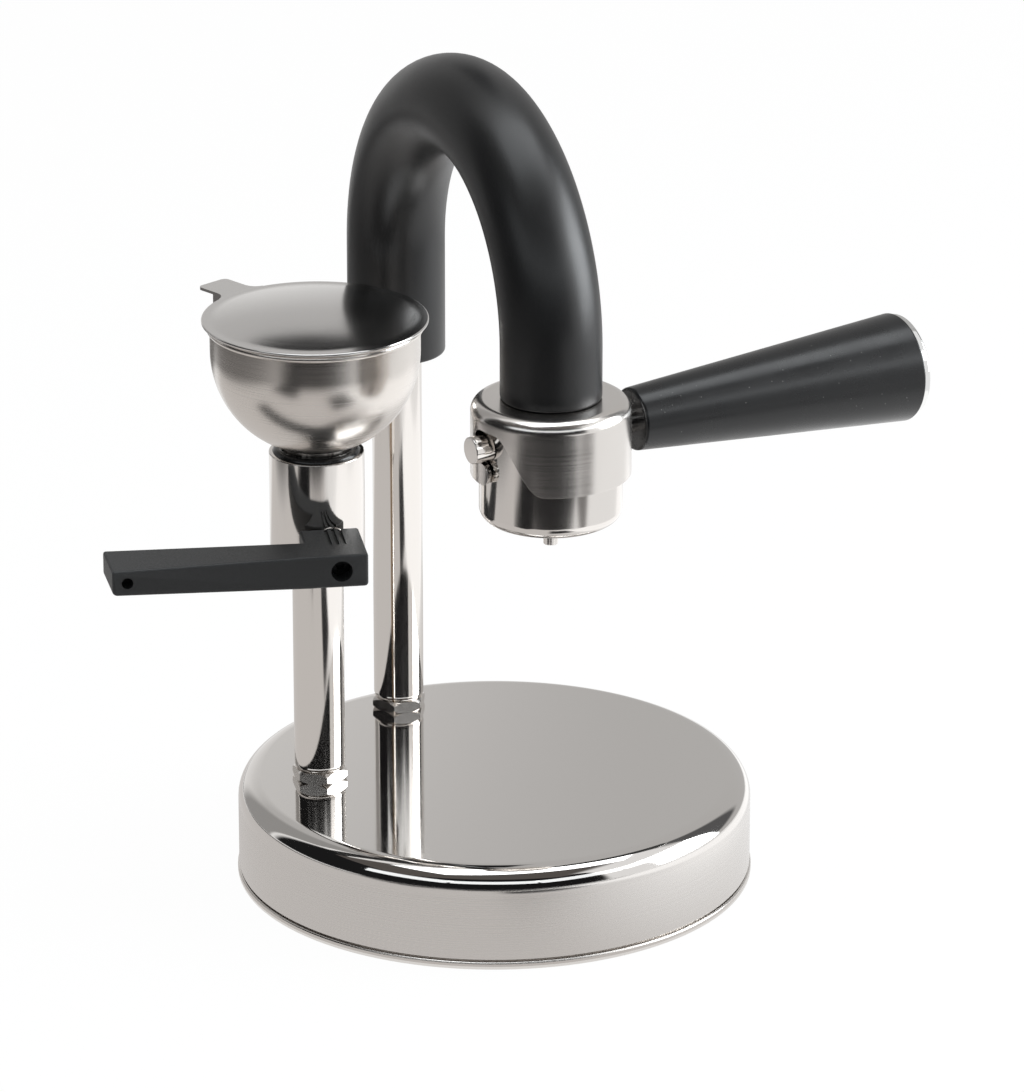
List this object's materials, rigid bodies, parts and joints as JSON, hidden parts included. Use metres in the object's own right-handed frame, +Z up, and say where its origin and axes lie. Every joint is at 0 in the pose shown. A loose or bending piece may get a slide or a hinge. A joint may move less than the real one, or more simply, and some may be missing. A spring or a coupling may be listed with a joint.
{
  "type": "stovetop espresso maker",
  "caption": "Stovetop espresso maker: flat round boiler, swan neck with a rubber grip, brew group with a side handle, and a filling post with a lever valve and a lidded funnel.",
  "frame": {"origin": "centre of the boiler's flat underside, where it stands on the hob", "axes": "+Z up; the swan neck lies along Y, from the riser at +Y to the brew group at -Y; the handle points to +X"},
  "size_m": [0.2161, 0.1408, 0.2292],
  "materials": {
    "drawn_steel": "stainless steel, mirror top face and satin side",
    "polished_steel": "polished stainless steel",
    "spun_steel": "spun stainless steel, satin",
    "cap_chrome": "bright chrome",
    "grip_rubber": "satin black silicone rubber",
    "seal_rubber": "glossy black rubber",
    "handle_plastic": "satin black thermoset",
    "lever_plastic": "matte black glass-filled plastic",
    "valve_brass": "turned brass"
  },
  "bodies": {
    "stand": {"boiler_shell": "drawn_steel", "boiler_base": "drawn_steel", "riser_fitting": "polished_steel", "riser_washer": "seal_rubber", "riser_locknut": "polished_steel", "dip_tube": "polished_steel", "filler_fitting": "polished_steel", "filler_washer": "seal_rubber", "filler_locknut": "polished_steel", "riser_tube": "polished_steel", "neck_grip": "grip_rubber", "group_head": "polished_steel", "group_seal": "seal_rubber", "shower_screen": "polished_steel", "filler_tube": "polished_steel", "valve_housing": "polished_steel", "valve_seat": "valve_brass", "spring_retainer": "valve_brass", "spindle_bush": "polished_steel", "spindle_oring": "seal_rubber", "funnel_ring": "seal_rubber", "funnel_bowl": "spun_steel", "funnel_spout": "spun_steel", "lid_bracket": "spun_steel", "lid_hinge_pin": "polished_steel"},
    "filter_holder": {"filter_cup": "polished_steel", "filter_basket": "polished_steel", "spout_tube": "polished_steel", "bayonet_pin": "polished_steel", "handle_stud": "polished_steel", "handle": "handle_plastic", "handle_cap": "cap_chrome"},
    "lever": {"lever": "lever_plastic", "lever_screw": "polished_steel", "valve_spindle": "polished_steel"},
    "valve": {"valve_stem": "valve_brass", "plug_seal": "seal_rubber", "valve_spring": "polished_steel"},
    "lid": {"funnel_lid": "spun_steel"}
  },
  "joints": [
    {"name": "lever_lift", "type": "hinge", "parent": "stand", "child": "lever", "pos_m": [-0.04284, 0.01533, 0.10045], "axis": [0.2672, 0.9636, 0], "range_deg": [0, 50], "stiffness_Nm_per_rad": 0.05, "springref_deg": -20.05},
    {"name": "valve_lift", "type": "slide", "parent": "stand", "child": "valve", "axis": [0, 0, 1], "range_m": [0, 0.0034], "deforming": ["valve_spring"]},
    {"name": "lid_hinge", "type": "hinge", "parent": "stand", "child": "lid", "pos_m": [-0.05622, 0.04684, 0.1561], "axis": [-0.9397, -0.342, 0], "range_deg": [0, 95]},
    {"name": "filter_holder_turn", "type": "hinge", "parent": "stand", "child": "filter_holder", "pos_m": [-0.0048, -0.0467, 0.142], "axis": [0, 0, 1], "range_deg": [0, 15]}
  ],
  "couplings": [
    {"joint": "valve_lift", "follows": "lever_lift", "m_per_rad": 0.0038743}
  ]
}
